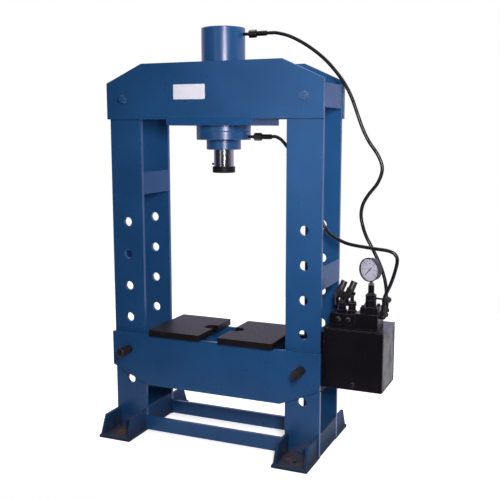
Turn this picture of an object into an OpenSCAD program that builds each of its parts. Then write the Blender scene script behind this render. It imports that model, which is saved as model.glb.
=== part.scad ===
// Workshop hydraulic press with a hand pump, all sizes in millimetres.
// Origin on the floor under the ram's axis, +X to the pump side, +Y to the back, +Z up.

/* [Columns] */
// Clear width between the two columns
daylight_w = 700; // [600:5:900]
// Width of an upright bar
upright_w = 160; // [140:1:180]
// Thickness of an upright bar
upright_t = 16; // [12:1:20]
// Depth of a column over its front and rear uprights
frame_d = 262; // [250:1:290]
// Rise of the uprights above the crown's lower edge
upright_rise = 148; // [130:1:158]
// Diameter of the pin holes in uprights and bed
pin_hole_d = 42; // [36:1:48]
// Distance between two pin holes
hole_pitch = 150; // [140:1:160]
// Height of the lowest pin hole
first_hole_z = 246; // [240:1:255]
// Number of pin holes in an upright
hole_count = 6; // [5:1:6]
// Height of a column spacer
spacer_h = 100; // [80:1:110]
// Thickness of the column spacers and side ties
spacer_t = 12; // [8:1:16]

/* [Feet] */
// Thickness of a foot's base plate
foot_t = 12; // [8:1:20]
// Reach of a foot from the upright's face
foot_reach = 161; // [140:1:200]
// Height of a gusset above the base plate
gusset_h = 86; // [70:1:110]
// Thickness of a gusset
gusset_t = 12; // [8:1:16]
// Length of a gusset's flat top
gusset_flat = 117; // [80:1:125]
// Inset of the gussets from the base plate's sides
gusset_inset = 6; // [2:1:12]
// Distance of a gusset's toe from the base plate's edge
gusset_toe = 4; // [2:1:12]
// Diameter of the floor anchor holes
anchor_d = 22; // [14:1:28]
// Distance of the anchor hole from the upright's face
anchor_reach = 94; // [70:1:110]
// Height of the lower tie bars
tie_h = 65; // [50:1:80]
// Gap between the tie bars and the floor
tie_lift = 5; // [3:1:8]
// Height of the column's side ties
side_tie_h = 103; // [80:1:120]

/* [Crown and bed] */
// Reach of the crown and bed plates past the columns
beam_reach = 5; // [2:1:15]
// Height of a crown or bed plate
beam_h = 242; // [230:1:260]
// Thickness of a crown or bed plate
beam_t = 18; // [14:1:24]
// Width of a beam plate's corner cut
beam_cut_w = 182; // [150:1:200]
// Height of a beam plate's corner cut
beam_cut_h = 82; // [60:1:100]
// Height of the crown's lower edge
crown_z = 1462; // [1440:1:1465]
// Height of the crown bolts above the crown's lower edge
crown_bolt_rise = 89; // [80:1:100]
// Diameter of a crown bolt's shank
crown_bolt_d = 20; // [16:1:24]
// Height of the bed plates above their pins' axis
bed_rise = 80; // [70:1:95]
// Pin hole that carries the bed, counted from the floor
bed_hole = 1; // [1:1:2]
// Thickness of a bed web
web_t = 16; // [10:1:20]
// Height of a bed web
web_h = 170; // [140:1:200]
// Diameter of a bed pin
pin_d = 40; // [36:1:41]
// Length of a bed pin in front of the bed
pin_front = 80; // [60:1:100]
// Length of a bed pin behind the bed
pin_back = 20; // [10:1:40]

/* [Arbor plates] */
// Width of an arbor plate
arbor_w = 262; // [220:1:280]
// Depth of an arbor plate
arbor_d = 350; // [320:1:400]
// Thickness of an arbor plate
arbor_t = 28; // [20:1:40]
// Gap between the two arbor plates
arbor_gap = 91; // [60:1:120]
// Shift of the arbor plates to the left
arbor_shift_x = 6; // [0:1:12]
// Shift of the arbor plates to the back
arbor_shift_y = 8; // [0:1:14]
// Width of the arbor notches
notch_w = 66; // [40:1:90]
// Depth of the arbor notches
notch_depth = 52; // [45:1:80]
// Corner radius of an arbor plate
arbor_r = 8; // [3:1:15]

/* [Cylinder] */
// Width of the cylinder seat plate
seat_w = 404; // [380:1:430]
// Reach of the seat plate beyond the crown plates
seat_reach = 13; // [6:1:20]
// Thickness of the seat plate
seat_t = 38; // [30:1:45]
// Depth that the crown plates are let down over the seat plate
seat_let_in = 10; // [6:1:14]
// Outer diameter of the barrel
barrel_d = 194; // [186:1:205]
// Bore of the barrel
bore_d = 150; // [140:1:160]
// Height of the barrel with its flange
barrel_h = 485; // [460:1:540]
// Thickness of the barrel's closed end
barrel_end_t = 22; // [18:1:28]
// Diameter of the barrel's flange
flange_d = 244; // [225:1:260]
// Height of the barrel's flange
flange_h = 63; // [55:1:75]
// Diameter of the gland below the flange
gland_d = 155; // [152:1:175]
// Height of the gland below the flange
gland_h = 43; // [35:1:55]
// Length of the gland's spigot in the bore
gland_spigot = 50; // [44:1:60]
// Diameter of the ram
ram_d = 90; // [80:1:100]
// Length of ram that shows at rest
ram_out = 75; // [70:1:90]
// Upward travel of the ram from rest
ram_up = 55; // [40:1:58]
// Height of the piston
piston_h = 50; // [40:1:60]
// Diameter of the ram nose
nose_d = 102; // [94:1:120]
// Height of the ram nose
nose_h = 28; // [20:1:40]
// Diameter of the nose's shank
shank_d = 40; // [30:1:50]
// Length of the nose's shank
shank_l = 50; // [40:1:70]

/* [Tank] */
// Width of the tank
tank_w = 256; // [250:1:280]
// Depth of the tank
tank_d = 210; // [190:1:225]
// Height of the tank without its lid
tank_h = 256; // [230:1:256]
// Wall of the tank
tank_wall = 3; // [2:0.5:5]
// Height of the tank's lid
lid_z = 578; // [578:1:590]
// Thickness of the lid
lid_t = 6; // [4:1:10]
// Overhang of the lid
lid_lip = 2; // [1:0.5:4]
// Thickness of the tank's bracket
bracket_t = 6; // [4:1:10]
// Height of the tank's bracket
bracket_h = 260; // [200:1:266]

/* [Pump] */
// Distance of the low pressure barrel from the column
low_x = 54; // [50:1:56]
// Distance between the two pump barrels
pump_pitch = 44; // [43:1:48]
// Diameter of the low pressure pump barrel
low_barrel_d = 36; // [30:1:38]
// Diameter of the high pressure pump barrel
high_barrel_d = 33; // [28:1:36]
// Diameter of the low pressure plunger
low_plunger_d = 22; // [16:1:24]
// Diameter of the high pressure plunger
high_plunger_d = 16; // [12:1:18]
// Height of the pump base
pump_base_h = 48; // [40:1:52]
// Depth of the pump base
pump_base_d = 60; // [52:1:70]
// Height of a pump barrel above the base
pump_barrel_h = 53; // [46:1:54]
// Height of the levers' fulcrum above the base
fulcrum_h = 76; // [72:1:84]
// Distance from fulcrum to plunger
lever_arm = 27; // [26:1:28]
// Rise from fulcrum to the plunger's pin at rest
lever_rise = 11; // [10:1:12]
// Diameter of the lever pins
lever_pin_d = 8; // [6:1:9]
// Outer diameter of a lever's handle socket
socket_d = 29; // [26:1:29]
// Bore of a lever's handle socket
socket_bore = 20; // [16:1:21]
// Length of a lever's handle socket
socket_l = 40; // [34:1:50]
// Turn of the pump units about their barrels
pump_turn = 45; // [40:1:50]
// Slope of the handle sockets
socket_slope = 64; // [60:1:68]

/* [Valve and gauge] */
// Width and depth of the valve block
block_w = 100; // [90:1:106]
// Height of the valve block
block_h = 66; // [58:1:72]
// Width of the valve's flange
valve_flange_w = 74; // [68:1:80]
// Height of the valve's flange
valve_flange_h = 26; // [20:1:30]
// Diameter of the valve's column
valve_d = 46; // [40:1:50]
// Height of the valve's column below its lever
valve_h = 28; // [24:1:34]
// Height of the lever's collar
collar_h = 24; // [20:1:28]
// Reach of the valve lever to the centre of its knob
valve_lever_l = 98; // [90:1:110]
// Turn of the valve lever to the front
valve_lever_turn = 30; // [20:1:40]
// Diameter of the ball knob
knob_d = 28; // [22:1:32]
// Height of the gauge adapter
adapter_h = 40; // [34:1:46]
// Diameter of the gauge's case
gauge_d = 102; // [96:1:108]
// Depth of the gauge's case
gauge_depth = 30; // [26:1:36]
// Turn of the gauge towards the operator
gauge_turn = 22; // [0:1:30]

/* [Hidden] */
$fn = 96;

// Small gaps: a sliding fit, a running gap and a loose seat
fit = 0.05;
gap = 0.3;
seat_gap = 0.1;
// Extra length of a cut past a face
over = 1;

// Places of the columns
column_x = daylight_w / 2 + upright_w / 2;
column_out = daylight_w / 2 + upright_w;
column_y = frame_d / 2;
inner_y = column_y - upright_t;
beam_y = column_y + beam_t;
beam_l = 2 * (column_out + beam_reach);
upright_top = crown_z + upright_rise;
// Heights of the spacers: inner edge, outer edge below, outer edge in the crown
inner_spacer_z = 1125;
lower_spacer_z = 746;
upper_spacer_z = crown_z + 44;

// The bed hangs on its pins, and the pins lie on the bottom of the uprights' holes
bed_hole_z = first_hole_z + bed_hole * hole_pitch;
pin_z = bed_hole_z - (pin_hole_d - pin_d) / 2 + seat_gap;
bed_pin_hole_z = pin_z - (pin_hole_d - pin_d) / 2 + seat_gap;
bed_top = bed_pin_hole_z + bed_rise;
bed_slip = 0.5;
pin_chamfer = 3;
web_x = daylight_w / 2 - web_t - 4;
web_drop = 30;

// Crown bolt sizes
bolt_af = crown_bolt_d * 1.5;
bolt_head_h = crown_bolt_d * 0.62;
bolt_nut_h = crown_bolt_d * 0.8;
washer_d = crown_bolt_d * 2;
washer_t = 4;
bolt_z = crown_z + crown_bolt_rise;

// Heights of the cylinder
seat_z = crown_z + seat_let_in - seat_t;
flange_z = seat_z - flange_h;
gland_z = flange_z - gland_h;
nose_z = gland_z - ram_out - nose_h;
ram_z = nose_z + nose_h;
barrel_top = flange_z + barrel_h;
bore_top = barrel_top - barrel_end_t;
piston_stop = 20;
piston_top = bore_top - piston_stop - ram_up;
piston_z = piston_top - piston_h;
piston_spigot_d = 60;
groove_z = seat_z - 26;
groove_w = 4;
groove_deep = 2;
edge = 3;
upper_port_z = bore_top - 8;
lower_port_z = flange_z + 14;
port_d = 10;
gallery_x = bore_d / 2 + 11;
gallery_z = flange_z + gland_spigot + 20;
seal_t = 7;
rod_seal_h = 12;
rod_seal_z = flange_z + 14;
wiper_h = 8;
piston_seal_h = 8;
screw_d = 8;
screw_head_d = 11;
screw_z = ram_z + 10;
screw_head_x = -(ram_d / 2 + 9);

// Places of the tank and of what stands on it
tank_x = column_out + bracket_t;
lid_top = lid_z + lid_t;
tank_z = lid_z - tank_h;
drain_x = tank_x + tank_w / 2;
drain_z = tank_z + 25;
suction_d = 16;
suction_wall = 2;
suction_gap = 20;
low_pump_x = column_out + low_x;
high_pump_x = low_pump_x + pump_pitch;
pump_top = lid_top + pump_base_h;
pump_base_x = column_out + 8;
pump_base_w = high_pump_x + 32 - pump_base_x;
barrel_hex = 1.2;
barrel_hex_h = 14;
fulcrum_z = pump_top + fulcrum_h;
plunger_pin_z = fulcrum_z + lever_rise;
tongue_t = 9;
cheek_gap = 0.5;
cheek_t = 7;
boss_r = lever_pin_d / 2 + 5;
pin_play = 0.5;
slot_in = -2.6;
slot_out = 0.6;
collar_z = pump_top + 34;
collar_ring_h = 12;
pump_stroke_low = 24;
plunger_drop = 8;
plug_af = 16;
plug_l = 10;
plug_shift = 8;
relief_x = high_pump_x + 23;
relief_y = -21;
relief_d = 14;
lever_lift = 4;

// Places of the valve block, valve and gauge
block_gap = 2;
block_x = pump_base_x + pump_base_w + block_gap;
block_y = -80;
block_top = lid_top + block_h;
valve_x = block_x + block_w / 2 + 6;
valve_y = block_y + block_w / 2;
valve_screw_r = valve_flange_w / 2 - 10;
valve_screw_d = 14;
valve_screw_h = 8;
valve_top = block_top + valve_flange_h + valve_h;
core_d = 28;
lever_z = valve_top + collar_h * 0.4;
lever_rod_d = 8;
adapter_z = valve_top + collar_h;
adapter_d = 26;
adapter_flange_d = 32;
adapter_flange_h = 5;
gauge_stem_z = adapter_z + adapter_h;
stem_hex = 22;
stem_hex_h = 8;
stem_d = 14;
stem_h = 10;
gauge_z = gauge_stem_z + stem_hex_h + stem_h + gauge_d / 2 - 2;
gauge_front = 21;
gauge_rim = 4;
gauge_rim_h = 6;
dial_t = 1;
dial_drop = 9;
pointer_l = 34;
pointer_tail = 13;
pointer_t = 1;
pointer_zero = 228;
hub_d = 8;
hub_h = 2.5;
spindle_d = 3;
glass_t = 2;

// Hydraulic fittings
adapter_hex = 27;
nipple_d = 14;
nipple_l = 29;
nut_hex = 30;
nut_l = 32;
ferrule_d = 22;
ferrule_l = 47;
hose_d = 15;
elbow_y = [valve_y - 16, valve_y + 30];
elbow_z = lid_top + 54;
elbow_x = block_x + block_w + 15;
elbow_d = 22;
elbow_up = 14;
lower_nut_l = 12;
lower_ferrule_l = 26;
hose_sides = 10;

// Hose routes, from the barrel's hose end to the elbow's hose end
upper_route = [
    [205, 0, 1826], [228, 0, 1826], [255, 0, 1824], [312, 0, 1808], [375, 0, 1776],
    [433, 0, 1737], [482, 0, 1695], [527, 0, 1645], [560, 0, 1600], [589, 0, 1546],
    [613, 0, 1484], [638, 0, 1420], [665, 0, 1368], [707, 0, 1308], [725, 0, 1254],
    [708, 0, 1197], [671, 0, 1148], [647, 0, 1106], [639, 0, 1060], [648, 0, 1011],
    [664, 4, 965], [687, 5, 924], [725, 5, 850], [746, 3, 793], [754, 1, 752],
    [757, 0, 715], [757, 0, 690]
];
lower_route = [
    [230, 0, 1385], [252, 0, 1385], [279, 0, 1370], [307, 0, 1338], [345, 0, 1288],
    [380, 0, 1233], [410, 0, 1170], [438, 0, 1098], [460, 0, 1040], [484, -3, 995],
    [514, -12, 968], [560, -26, 948], [611, -40, 936], [708, -60, 928], [770, -69, 924],
    [802, -70, 912], [814, -69, 885], [803, -66, 830], [785, -60, 778], [765, -51, 735],
    [757, -46, 710], [757, -46, 690]
];

// A box from its lowest to its highest corner
module span(low, high) {
    translate(low) cube(high - low);
}

// A straight round bar along X, Y or Z from a point
module bar_x(at, d, l) {
    translate(at) rotate([0, 90, 0]) cylinder(d = d, h = l);
}

module bar_y(at, d, l) {
    translate(at) rotate([-90, 0, 0]) cylinder(d = d, h = l);
}

module bar_z(at, d, l) {
    translate(at) cylinder(d = d, h = l);
}

// A hexagonal prism of a given width across flats
module hexagon(af, h) {
    cylinder(d = af / cos(30), h = h, $fn = 6);
}

// A round pin along +Z with both ends bevelled
module bevelled_pin(d, l, bevel) {
    rotate_extrude()
        polygon([[0, 0], [d / 2 - bevel, 0], [d / 2, bevel], [d / 2, l - bevel], [d / 2 - bevel, l], [0, l]]);
}

// An upright for the column at +X in front, sides are -1 or 1
module upright(side_x, side_y) {
    x0 = side_x * column_x - upright_w / 2;
    y0 = side_y > 0 ? inner_y : -column_y;
    color("steelblue") difference() {
        span([x0, y0, foot_t], [x0 + upright_w, y0 + upright_t, upright_top]);
        for (k = [0 : hole_count - 1])
            bar_y([side_x * column_x, y0 - over, first_hole_z + k * hole_pitch], pin_hole_d, upright_t + 2 * over);
        bar_y([side_x * column_x, y0 - over, bolt_z], crown_bolt_d + 2 * fit, upright_t + 2 * over);
    }
}

// A foot: a base plate with an anchor hole and two gussets, for the corner at +X and -Y
module front_foot() {
    toe = -column_y - foot_reach;
    x0 = column_x - upright_w / 2;
    difference() {
        span([x0, toe, 0], [x0 + upright_w, -inner_y, foot_t]);
        bar_z([column_x, -column_y - anchor_reach, -over], anchor_d, foot_t + 2 * over);
    }
    for (x = [x0 + gusset_inset, x0 + upright_w - gusset_inset - gusset_t])
        translate([x, 0, 0]) rotate([90, 0, 90]) linear_extrude(gusset_t)
            polygon([
                [-column_y, foot_t], [toe + gusset_toe, foot_t],
                [-column_y - gusset_flat, foot_t + gusset_h], [-column_y, foot_t + gusset_h]
            ]);
}

module foot(side_x, side_y) {
    color("midnightblue")
        mirror([side_x < 0 ? 1 : 0, 0, 0]) mirror([0, side_y > 0 ? 1 : 0, 0]) front_foot();
}

module column_spacers() {
    inner = daylight_w / 2;
    outer = column_out - spacer_t;
    color("steelblue") for (side = [0, 1]) mirror([side, 0, 0])
        for (place = [[inner, inner_spacer_z], [outer, lower_spacer_z], [outer, upper_spacer_z]])
            span([place[0], -inner_y, place[1]], [place[0] + spacer_t, inner_y, place[1] + spacer_h]);
}

module column_side_ties() {
    color("steelblue") for (side = [0, 1]) mirror([side, 0, 0])
        for (x = [daylight_w / 2, column_out - spacer_t])
            span([x, -inner_y, tie_lift], [x + spacer_t, inner_y, tie_lift + side_tie_h]);
}

module tie_bar(y0) {
    color("steelblue")
        span([-daylight_w / 2, y0, tie_lift], [daylight_w / 2, y0 + upright_t, tie_lift + tie_h]);
}

module front_tie_bar() {
    tie_bar(-column_y);
}

module rear_tie_bar() {
    tie_bar(inner_y);
}

// A beam plate standing on Z = 0 with its upper corners cut, thickness along +Y from Y = 0
module beam_plate() {
    half = beam_l / 2;
    translate([0, beam_t, 0]) rotate([90, 0, 0]) linear_extrude(beam_t)
        polygon([
            [-half, 0], [half, 0], [half, beam_h - beam_cut_h], [half - beam_cut_w, beam_h],
            [beam_cut_w - half, beam_h], [-half, beam_h - beam_cut_h]
        ]);
}

module crown_plate(y0) {
    color("steelblue") difference() {
        translate([0, y0, crown_z]) beam_plate();
        span([-seat_w / 2, y0 - over, crown_z - over], [seat_w / 2, y0 + beam_t + over, crown_z + seat_let_in]);
        for (x = [-column_x, column_x])
            bar_y([x, y0 - over, bolt_z], crown_bolt_d + 2 * fit, beam_t + 2 * over);
    }
}

module front_crown_plate() {
    crown_plate(-beam_y);
}

module rear_crown_plate() {
    crown_plate(column_y);
}

// Crown bolts from outside: head, washer, and a shank that ends just past its nut
module crown_bolts() {
    grip = beam_t + upright_t;
    color("steelblue") for (side = [0, 1]) mirror([0, side, 0])
        for (x = [-column_x, column_x])
            translate([x, -beam_y, bolt_z]) rotate([-90, 0, 0]) {
                translate([0, 0, -washer_t - bolt_head_h]) hexagon(bolt_af, bolt_head_h);
                translate([0, 0, -washer_t]) cylinder(d = washer_d, h = washer_t);
                cylinder(d = crown_bolt_d, h = grip + bolt_nut_h + edge);
            }
}

module crown_nuts() {
    color("steelblue") for (side = [0, 1]) mirror([0, side, 0])
        for (x = [-column_x, column_x])
            translate([x, -inner_y, bolt_z]) rotate([-90, 0, 0]) difference() {
                hexagon(bolt_af, bolt_nut_h);
                translate([0, 0, -over]) cylinder(d = crown_bolt_d + 2 * fit, h = bolt_nut_h + 2 * over);
            }
}

module bed_plate(y0) {
    color("steelblue") difference() {
        translate([0, y0, bed_top]) mirror([0, 0, 1]) beam_plate();
        for (x = [-column_x, column_x])
            bar_y([x, y0 - over, bed_pin_hole_z], pin_hole_d, beam_t + 2 * over);
    }
}

module front_bed_plate() {
    bed_plate(-beam_y - bed_slip);
}

module rear_bed_plate() {
    bed_plate(column_y + bed_slip);
}

module bed_webs() {
    y1 = column_y + bed_slip;
    z1 = bed_top - web_drop;
    color("steelblue") for (side = [0, 1]) mirror([side, 0, 0])
        span([web_x, -y1, z1 - web_h], [web_x + web_t, y1, z1]);
}

module bed_pin(x) {
    front = beam_y + bed_slip + pin_front;
    back = beam_y + bed_slip + pin_back;
    color("saddlebrown")
        translate([x, -front, pin_z]) rotate([-90, 0, 0]) bevelled_pin(pin_d, front + back, pin_chamfer);
}

module left_bed_pin() {
    bed_pin(-column_x);
}

module right_bed_pin() {
    bed_pin(column_x);
}

// A rectangle with rounded corners from the origin
module rounded_rectangle(w, d, r) {
    for (x = [r, w - r]) for (y = [r, d - r]) translate([x, y]) circle(r);
    translate([r, 0]) square([w - 2 * r, d]);
    translate([0, r]) square([w, d - 2 * r]);
}

// An arbor plate whose notch opens at X = 0, seen from above
module arbor_plate() {
    r = notch_w / 2;
    color("dimgray") linear_extrude(arbor_t) difference() {
        translate([0, -arbor_d / 2]) rounded_rectangle(arbor_w, arbor_d, arbor_r);
        translate([-over, -r]) square([notch_depth - r + over, notch_w]);
        translate([notch_depth - r, 0]) circle(r);
    }
}

module left_arbor_plate() {
    translate([-arbor_gap / 2 - arbor_shift_x, arbor_shift_y, bed_top]) mirror([1, 0, 0]) arbor_plate();
}

module right_arbor_plate() {
    translate([arbor_gap / 2 - arbor_shift_x, arbor_shift_y, bed_top]) arbor_plate();
}

module cylinder_seat_plate() {
    y1 = beam_y + seat_reach;
    color("steelblue") difference() {
        span([-seat_w / 2, -y1, seat_z], [seat_w / 2, y1, seat_z + seat_t]);
        bar_z([0, 0, seat_z - over], barrel_d + 2 * fit, seat_t + 2 * over);
    }
}

// The barrel: flange under the seat plate, closed top end, a groove round the flange and the two ports
module cylinder_barrel() {
    r = barrel_d / 2;
    f = flange_d / 2;
    b = bore_d / 2;
    color("steelblue") difference() {
        rotate_extrude()
            polygon([
                [b, flange_z], [f - edge, flange_z], [f, flange_z + edge], [f, groove_z - groove_w / 2],
                [f - groove_deep, groove_z], [f, groove_z + groove_w / 2], [f, seat_z], [r, seat_z],
                [r, barrel_top - edge], [r - edge, barrel_top], [0, barrel_top], [0, bore_top], [b, bore_top]
            ]);
        bar_x([b - over, 0, upper_port_z], port_d, r - b + 2 * over);
        bar_x([gallery_x, 0, lower_port_z], port_d, f - gallery_x + over);
        bar_z([gallery_x, 0, lower_port_z], port_d - 2, gallery_z - lower_port_z);
        bar_x([b - over, 0, gallery_z - port_d / 2], port_d - 2, gallery_x - b + over);
    }
}

module cylinder_gland() {
    r = ram_d / 2 + fit;
    s = bore_d / 2 - fit;
    g = gland_d / 2;
    top = flange_z + gland_spigot;
    color("steelblue") rotate_extrude() difference() {
        polygon([
            [r, gland_z], [g - edge, gland_z], [g, gland_z + edge], [g, flange_z], [s, flange_z],
            [s, top], [r, top]
        ]);
        translate([r - over, gland_z - over]) square([seal_t + over, wiper_h + over]);
        translate([r - over, rod_seal_z]) square([seal_t + over, rod_seal_h]);
    }
}

// The wiper and the rod seal in the gland
module rod_seals() {
    r = ram_d / 2 + fit;
    color("black") rotate_extrude() {
        translate([r, gland_z]) square([seal_t, wiper_h]);
        translate([r, rod_seal_z]) square([seal_t, rod_seal_h]);
    }
}

module ram() {
    color("silver") difference() {
        union() {
            bar_z([0, 0, ram_z], ram_d, piston_z - ram_z);
            bar_z([0, 0, piston_z], piston_spigot_d, piston_h);
        }
        bar_z([0, 0, ram_z - over], shank_d + 2 * fit, shank_l + edge + over);
        bar_x([-ram_d, 0, screw_z], screw_d + 2 * fit, ram_d);
    }
}

// Heights of the two seal grooves in the piston
function piston_grooves() = [piston_z + piston_h * 0.25, piston_z + piston_h * 0.62];

module piston() {
    r = bore_d / 2 - fit;
    color("gray") rotate_extrude() difference() {
        translate([piston_spigot_d / 2, piston_z]) square([r - piston_spigot_d / 2, piston_h]);
        for (z = piston_grooves()) translate([r - seal_t, z]) square([seal_t + over, piston_seal_h]);
    }
}

module piston_seals() {
    r = bore_d / 2 - fit;
    color("black") rotate_extrude()
        for (z = piston_grooves()) translate([r - seal_t, z]) square([seal_t, piston_seal_h]);
}

// The nose: a collar with a flat face and a shank in the ram
module ram_nose() {
    n = nose_d / 2;
    color("dimgray") rotate_extrude()
        polygon([
            [0, nose_z], [n - edge, nose_z], [n, nose_z + edge], [n, ram_z - edge / 2], [n - edge / 2, ram_z],
            [shank_d / 2, ram_z], [shank_d / 2, ram_z + shank_l], [0, ram_z + shank_l]
        ]);
}

// The thumb screw that holds the nose's shank
module nose_screw() {
    tip = -shank_d / 2 - gap;
    color("dimgray") {
        bar_x([screw_head_x, 0, screw_z], screw_d, tip - screw_head_x);
        translate([screw_head_x, 0, screw_z]) sphere(d = screw_head_d, $fn = 32);
    }
}

module tank_bracket() {
    color("black")
        span([column_out, -column_y, lid_z - bracket_h - 12], [tank_x, column_y, lid_z - 12]);
}

module tank_shell() {
    y = tank_d / 2;
    w = tank_wall;
    color("black") difference() {
        span([tank_x, -y, tank_z], [tank_x + tank_w, y, lid_z]);
        span([tank_x + w, w - y, tank_z + w], [tank_x + tank_w - w, y - w, lid_z + over]);
        bar_y([drain_x, -y - over, drain_z], 14 + 2 * fit, w + 2 * over);
    }
}

module tank_lid() {
    y = tank_d / 2 + lid_lip;
    color("black") difference() {
        span([tank_x - lid_lip, -y, lid_z], [tank_x + tank_w + lid_lip, y, lid_top]);
        for (x = [low_pump_x, high_pump_x]) bar_z([x, 0, lid_z - over], suction_d + 2 * fit, lid_t + 2 * over);
    }
}

module drain_plug() {
    y = -tank_d / 2;
    color("silver") translate([drain_x, y, drain_z]) rotate([-90, 0, 0]) {
        cylinder(d = 14, h = tank_wall + 5);
        translate([0, 0, -3]) cylinder(d = 20, h = 3);
        translate([0, 0, -9]) hexagon(13, 6);
    }
}

// The suction pipes hang from the pump base through the lid
module suction_pipes() {
    color("gray") for (x = [low_pump_x, high_pump_x]) difference() {
        bar_z([x, 0, tank_z + suction_gap], suction_d, lid_top - tank_z - suction_gap);
        bar_z([x, 0, tank_z + suction_gap - over], suction_d - 2 * suction_wall, lid_top - tank_z);
    }
}

// The pump base with a sealing plug in front of each pump
module pump_base() {
    y = pump_base_d / 2;
    color("black") {
        difference() {
            span([pump_base_x, -y, lid_top], [pump_base_x + pump_base_w, y, pump_top]);
            for (x = [low_pump_x, high_pump_x])
                bar_z([x, 0, lid_top - over], suction_d / 2, pump_base_h + 2 * over);
        }
        for (x = [low_pump_x, high_pump_x])
            translate([x - plug_shift, -y, lid_top + pump_base_h / 2]) rotate([90, 0, 0]) {
                cylinder(d = plug_af + 4, h = 3);
                hexagon(plug_af, plug_l);
            }
    }
}

// Places a pump unit that is built round the Z axis, with its lever leaning to +X
module at_pump(x) {
    translate([x, 0, 0]) rotate([0, 0, pump_turn]) children();
}

// A pump barrel with its hexagon, its collar and the post that carries the lever's fulcrum
module pump_barrel(x, d, plunger) {
    post_w = 2 * boss_r - 2;
    ear = -lever_arm - post_w / 2;
    color("black") at_pump(x) difference() {
        union() {
            translate([0, 0, pump_top]) hexagon(d * barrel_hex, barrel_hex_h);
            bar_z([0, 0, pump_top], d, pump_barrel_h);
            bar_z([0, 0, collar_z], d + 6, collar_ring_h);
            span([ear, -tongue_t / 2, collar_z], [0, tongue_t / 2, collar_z + collar_ring_h]);
            span([ear, -tongue_t / 2, collar_z], [ear + post_w, tongue_t / 2, fulcrum_z]);
            bar_y([-lever_arm, -tongue_t / 2, fulcrum_z], post_w, tongue_t);
        }
        bar_z([0, 0, pump_top - over], plunger + 2 * fit, pump_barrel_h + 2 * over);
        bar_y([-lever_arm, -tongue_t, fulcrum_z], lever_pin_d + 2 * fit, 2 * tongue_t);
    }
}

module low_pump_barrel() {
    pump_barrel(low_pump_x, low_barrel_d, low_plunger_d);
}

module high_pump_barrel() {
    pump_barrel(high_pump_x, high_barrel_d, high_plunger_d);
}

// A plunger with a flat tongue and a cross pin that drives it
module plunger(x, d) {
    pin_l = tongue_t + 2 * (cheek_gap + cheek_t) + 4;
    low = pump_top + pump_stroke_low;
    half = min(boss_r - 2, sqrt(d * d - tongue_t * tongue_t) / 2 - gap);
    shoulder = plunger_pin_z - boss_r - plunger_drop;
    color("silver") at_pump(x) {
        bar_z([0, 0, low], d, shoulder - low);
        span([-half, -tongue_t / 2, shoulder - edge], [half, tongue_t / 2, plunger_pin_z]);
        bar_y([0, -tongue_t / 2, plunger_pin_z], 2 * half, tongue_t);
        bar_y([0, -pin_l / 2, plunger_pin_z], lever_pin_d, pin_l);
    }
}

module low_plunger() {
    plunger(low_pump_x, low_plunger_d);
}

module high_plunger() {
    plunger(high_pump_x, high_plunger_d);
}

// Side view of a lever's cheek, with the fulcrum at the origin
module cheek_outline() {
    arm = sqrt(lever_arm * lever_arm + lever_rise * lever_rise);
    tilt = atan2(lever_rise, lever_arm);
    foot_s = socket_foot();
    circle(boss_r);
    translate([lever_arm, lever_rise]) circle(boss_r);
    rotate(tilt) translate([0, -boss_r]) square([arm, 2 * boss_r]);
    rotate(socket_slope) translate([0, -boss_r - socket_side()]) square([foot_s + 8, socket_d / 2 + boss_r]);
}

// Distance along the socket from the fulcrum to the socket's foot, and its offset to the side
function socket_foot() = lever_arm * cos(socket_slope) + lever_rise * sin(socket_slope) + boss_r + 1;
function socket_side() = 6;

// A lever: two cheeks that straddle the fulcrum post and the plunger's tongue, and a handle socket
module lever(x) {
    cheek_y = tongue_t / 2 + cheek_gap;
    slot_w = lever_pin_d + 2 * pin_play;
    color("dimgray") at_pump(x) translate([-lever_arm, 0, fulcrum_z]) difference() {
        union() {
            for (side = [0, 1]) mirror([0, side, 0])
                translate([0, cheek_y + cheek_t, 0]) rotate([90, 0, 0]) linear_extrude(cheek_t) cheek_outline();
            rotate([0, -socket_slope, 0]) translate([socket_foot(), 0, -socket_side()])
                rotate([0, 90, 0]) cylinder(d = socket_d, h = socket_l);
        }
        rotate([0, -socket_slope, 0]) translate([socket_foot() + 6, 0, -socket_side()])
            rotate([0, 90, 0]) cylinder(d = socket_bore, h = socket_l);
        bar_y([0, -socket_d, 0], lever_pin_d + 2 * fit, 2 * socket_d);
        translate([lever_arm, 0, lever_rise]) rotate([0, -atan2(lever_rise, lever_arm), 0]) {
            for (s = [slot_in, slot_out]) bar_y([s, -socket_d, 0], slot_w, 2 * socket_d);
            span([slot_in, -socket_d, -slot_w / 2], [slot_out, socket_d, slot_w / 2]);
        }
    }
}

module low_lever() {
    lever(low_pump_x);
}

module high_lever() {
    lever(high_pump_x);
}

module fulcrum_pins() {
    pin_l = tongue_t + 2 * (cheek_gap + cheek_t) + 4;
    color("silver") for (x = [low_pump_x, high_pump_x])
        at_pump(x) bar_y([-lever_arm, -pin_l / 2, fulcrum_z], lever_pin_d, pin_l);
}

// The relief cap on the pump base: hexagon with a domed top
module relief_cap() {
    color("black") translate([relief_x, relief_y, pump_top]) {
        hexagon(relief_d, 12);
        translate([0, 0, 12]) rotate_extrude() intersection() {
            circle(d = relief_d);
            square(relief_d);
        }
    }
}

module valve_block() {
    color("black") difference() {
        span([block_x, block_y, lid_top], [block_x + block_w, block_y + block_w, block_top]);
        for (y = elbow_y) bar_x([block_x + block_w - 20, y, elbow_z], nipple_d + 2 * fit, 20 + over);
    }
}

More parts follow.
